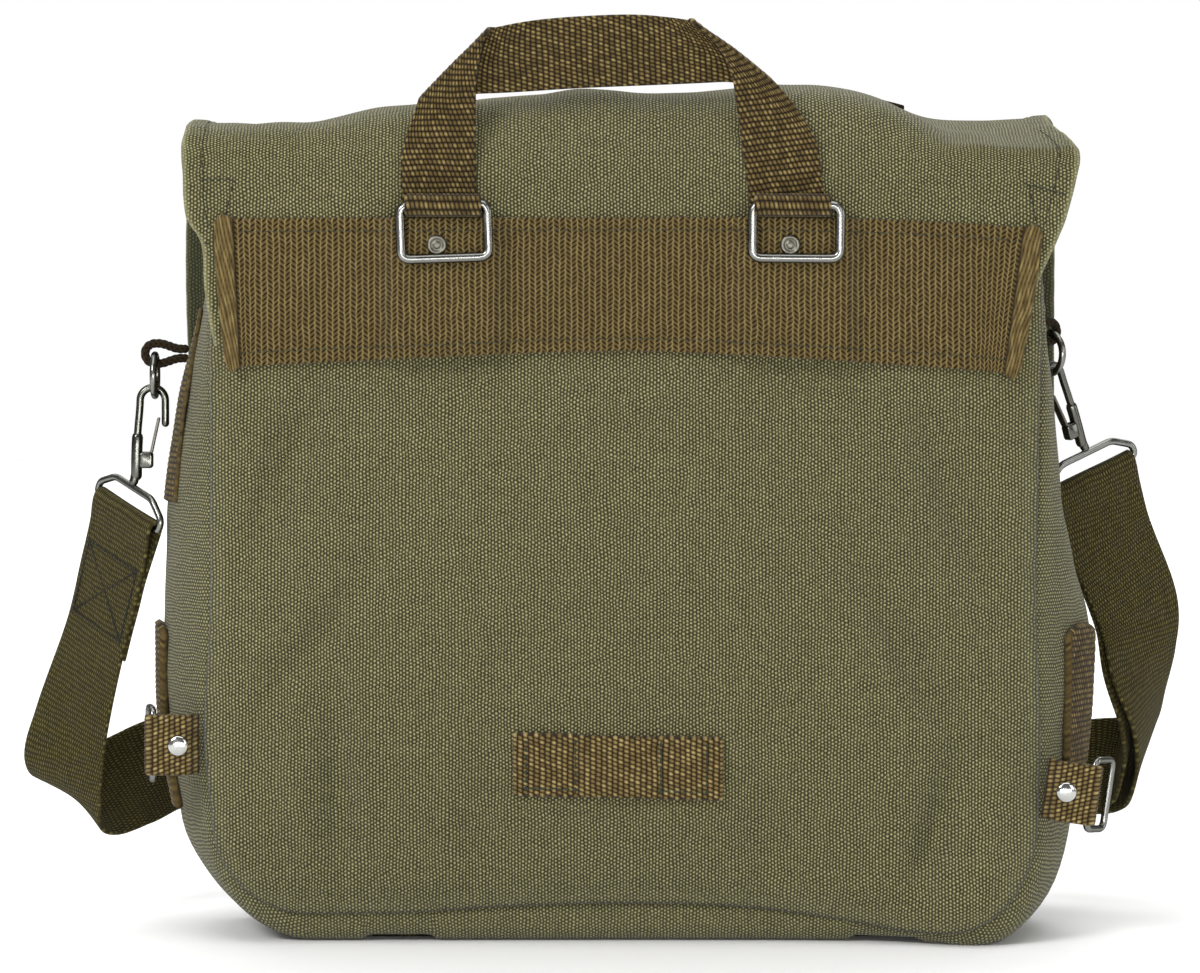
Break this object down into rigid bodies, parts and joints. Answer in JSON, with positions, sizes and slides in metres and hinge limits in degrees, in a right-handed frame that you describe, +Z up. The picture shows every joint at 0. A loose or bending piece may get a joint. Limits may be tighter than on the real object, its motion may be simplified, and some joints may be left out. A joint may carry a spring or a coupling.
{
  "type": "canvas field bag",
  "caption": "Canvas shoulder bag with flap, carrying handle on steel rings, clip-on webbing strap, belt loop and riveted side tabs; stands on its flat bottom.",
  "frame": {"origin": "on the surface the bag stands on, in the middle of its flat bottom", "axes": "+X to the right as seen from the back, +Y from the back to the front, +Z up"},
  "size_m": [0.4986, 0.186, 0.3831],
  "materials": {
    "canvas": "coarse olive canvas",
    "trim_webbing": "brown olive webbing",
    "strap_webbing": "dark olive webbing",
    "cord": "braided cord",
    "steel": "nickel-plated wire",
    "gate_steel": "sheet steel"
  },
  "bodies": {
    "bag": {"back_panel": "canvas", "front_panel": "canvas", "gusset": "canvas", "flap": "canvas", "back_band": "trim_webbing", "handle": "trim_webbing", "belt_loop": "trim_webbing", "ring_tab_left": "trim_webbing", "side_webbing_left": "trim_webbing", "side_tongue_left": "trim_webbing", "side_tab_left": "trim_webbing", "closure_strap_left": "trim_webbing", "bottom_strap_left": "trim_webbing", "cord_loop_left": "cord", "band_rivet_left": "steel", "side_ring_left": "steel", "snap_hook_left": "steel", "strap_frame_left": "steel", "side_rivet_left": "steel", "closure_buckle_left": "steel", "ring_tab_right": "trim_webbing", "side_webbing_right": "trim_webbing", "side_tongue_right": "trim_webbing", "side_tab_right": "trim_webbing", "closure_strap_right": "trim_webbing", "bottom_strap_right": "trim_webbing", "cord_loop_right": "cord", "band_rivet_right": "steel", "side_ring_right": "steel", "snap_hook_right": "steel", "strap_frame_right": "steel", "side_rivet_right": "steel", "closure_buckle_right": "steel", "shoulder_strap": "strap_webbing", "strap_return": "strap_webbing", "strap_slider": "steel"},
    "handle_ring_left": {"handle_ring_left": "steel"},
    "handle_ring_right": {"handle_ring_right": "steel"},
    "side_tab_ring_left": {"side_tab_ring_left": "steel"},
    "side_tab_ring_right": {"side_tab_ring_right": "steel"},
    "hook_gate_left": {"hook_gate_left": "gate_steel"},
    "hook_gate_right": {"hook_gate_right": "gate_steel"}
  },
  "joints": [
    {"name": "handle_ring_left_hinge", "type": "hinge", "parent": "bag", "child": "handle_ring_left", "pos_m": [-0.074, -0.0657, 0.3052], "axis": [-0.9994, 0, -0.0349], "range_deg": [0, 150]},
    {"name": "handle_ring_right_hinge", "type": "hinge", "parent": "bag", "child": "handle_ring_right", "pos_m": [0.0697, -0.0657, 0.3052], "axis": [-1, 0, 0.0087], "range_deg": [0, 150]},
    {"name": "side_tab_ring_left_hinge", "type": "hinge", "parent": "bag", "child": "side_tab_ring_left", "pos_m": [-0.1945, -0.049, 0.083], "axis": [0, 0, 1], "range_deg": [-10, 80]},
    {"name": "side_tab_ring_right_hinge", "type": "hinge", "parent": "bag", "child": "side_tab_ring_right", "pos_m": [0.19228, -0.049, 0.0623], "axis": [-0.1392, 0, -0.9903], "range_deg": [-25, 60]},
    {"name": "hook_gate_left_hinge", "type": "hinge", "parent": "bag", "child": "hook_gate_left", "pos_m": [-0.19918, 0, 0.20105], "axis": [0, -1, 0], "range_deg": [0, 18], "stiffness_Nm_per_rad": 0.02, "springref_deg": -17.19},
    {"name": "hook_gate_right_hinge", "type": "hinge", "parent": "bag", "child": "hook_gate_right", "pos_m": [0.18691, 0.01353, 0.21176], "axis": [-0.5736, 0.8191, 0], "range_deg": [0, 18], "stiffness_Nm_per_rad": 0.02, "springref_deg": -17.19}
  ]
}
